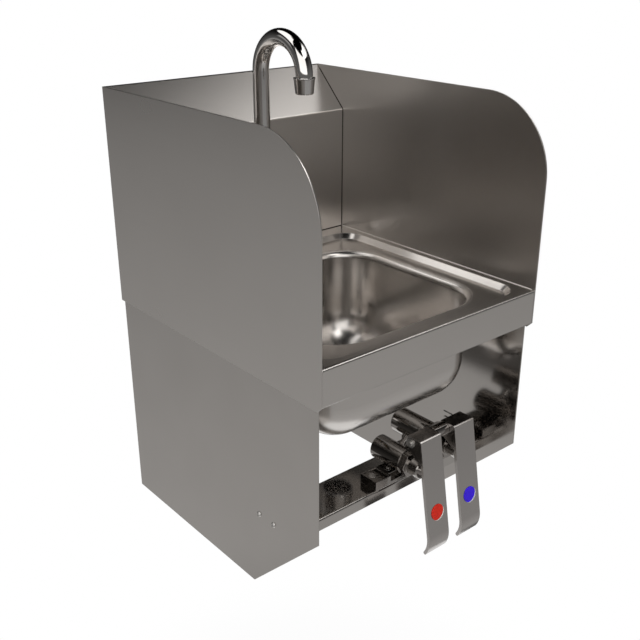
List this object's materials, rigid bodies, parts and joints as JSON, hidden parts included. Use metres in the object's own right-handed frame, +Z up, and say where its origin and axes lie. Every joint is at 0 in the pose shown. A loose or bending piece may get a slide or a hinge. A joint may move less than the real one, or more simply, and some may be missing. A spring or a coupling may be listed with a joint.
{
  "type": "hand wash sink",
  "caption": "Wall-hung stainless steel hand wash sink with side splashes, a swivel gooseneck spout and a knee-operated hot and cold valve on a rail below the bowl",
  "frame": {"origin": "on the wall plane, on the sink's centre line, at the height of the wall hanger's screw row", "axes": "+Z up, +Y into the wall, so the user stands on the -Y side; +X to the user's right"},
  "size_m": [0.3048, 0.3672, 0.567],
  "materials": {
    "stainless": "satin sheet",
    "polished_steel": "bright rolled sheet",
    "fastener_steel": "bright machined",
    "hanger_steel": "plain sheet",
    "chrome": "polished plate",
    "rubber": "matt black",
    "fibre": "pressed fibre",
    "brass": "machined",
    "plastic": "moulded",
    "spring_steel": "drawn wire",
    "lever_steel": "satin plated",
    "red": "glossy",
    "blue": "glossy"
  },
  "bodies": {
    "sink": {"deck": "stainless", "bowl": "stainless", "backsplash": "stainless", "left_side_splash": "stainless", "right_side_splash": "stainless", "left_lower_panel": "stainless", "right_lower_panel": "stainless", "valve_rail": "polished_steel", "rail_screws": "fastener_steel", "rail_nuts": "fastener_steel", "wall_hanger": "hanger_steel", "drain_body": "chrome", "strainer_grid": "chrome", "strainer_screw": "fastener_steel", "drain_gasket": "rubber", "drain_washer": "fibre", "drain_locknut": "brass", "spout_base": "chrome", "spout_gasket": "rubber", "spout_washer": "fastener_steel", "spout_locknut": "brass", "spout_o_ring": "rubber", "spout_nut": "chrome", "valve_body": "chrome", "valve_screws": "fastener_steel", "valve_nuts": "fastener_steel", "hot_bonnet": "chrome", "cold_bonnet": "chrome", "hinge_pin": "fastener_steel", "pin_clips": "fastener_steel", "hot_spring": "spring_steel", "cold_spring": "spring_steel"},
    "spout": {"spout_tube": "chrome", "aerator_shell": "chrome", "aerator_washer": "rubber", "aerator_insert": "plastic"},
    "hot_lever": {"hot_lever": "lever_steel", "red_index": "red"},
    "cold_lever": {"cold_lever": "lever_steel", "blue_index": "blue"},
    "hot_stem": {"hot_stem": "chrome", "hot_seat_washer": "rubber"},
    "cold_stem": {"cold_stem": "chrome", "cold_seat_washer": "rubber"}
  },
  "joints": [
    {"name": "spout_swivel", "type": "hinge", "parent": "sink", "child": "spout", "pos_m": [0, -0.083, -0.152], "axis": [0, 0, 1], "range_deg": [-90, 90]},
    {"name": "hot_lever_hinge", "type": "hinge", "parent": "sink", "child": "hot_lever", "pos_m": [0.0311, -0.322, -0.328], "axis": [1, 0, 0], "range_deg": [0, 8], "stiffness_Nm_per_rad": 3, "springref_deg": -8.59},
    {"name": "cold_lever_hinge", "type": "hinge", "parent": "sink", "child": "cold_lever", "pos_m": [0.0851, -0.322, -0.328], "axis": [1, 0, 0], "range_deg": [0, 8], "stiffness_Nm_per_rad": 3, "springref_deg": -8.59},
    {"name": "hot_stem_slide", "type": "slide", "parent": "sink", "child": "hot_stem", "axis": [0, 1, 0], "range_m": [0, 0.0053]},
    {"name": "cold_stem_slide", "type": "slide", "parent": "sink", "child": "cold_stem", "axis": [0, 1, 0], "range_m": [0, 0.0053]}
  ],
  "couplings": [
    {"joint": "hot_stem_slide", "follows": "hot_lever_hinge", "m_per_rad": 0.0371},
    {"joint": "cold_stem_slide", "follows": "cold_lever_hinge", "m_per_rad": 0.0371}
  ]
}
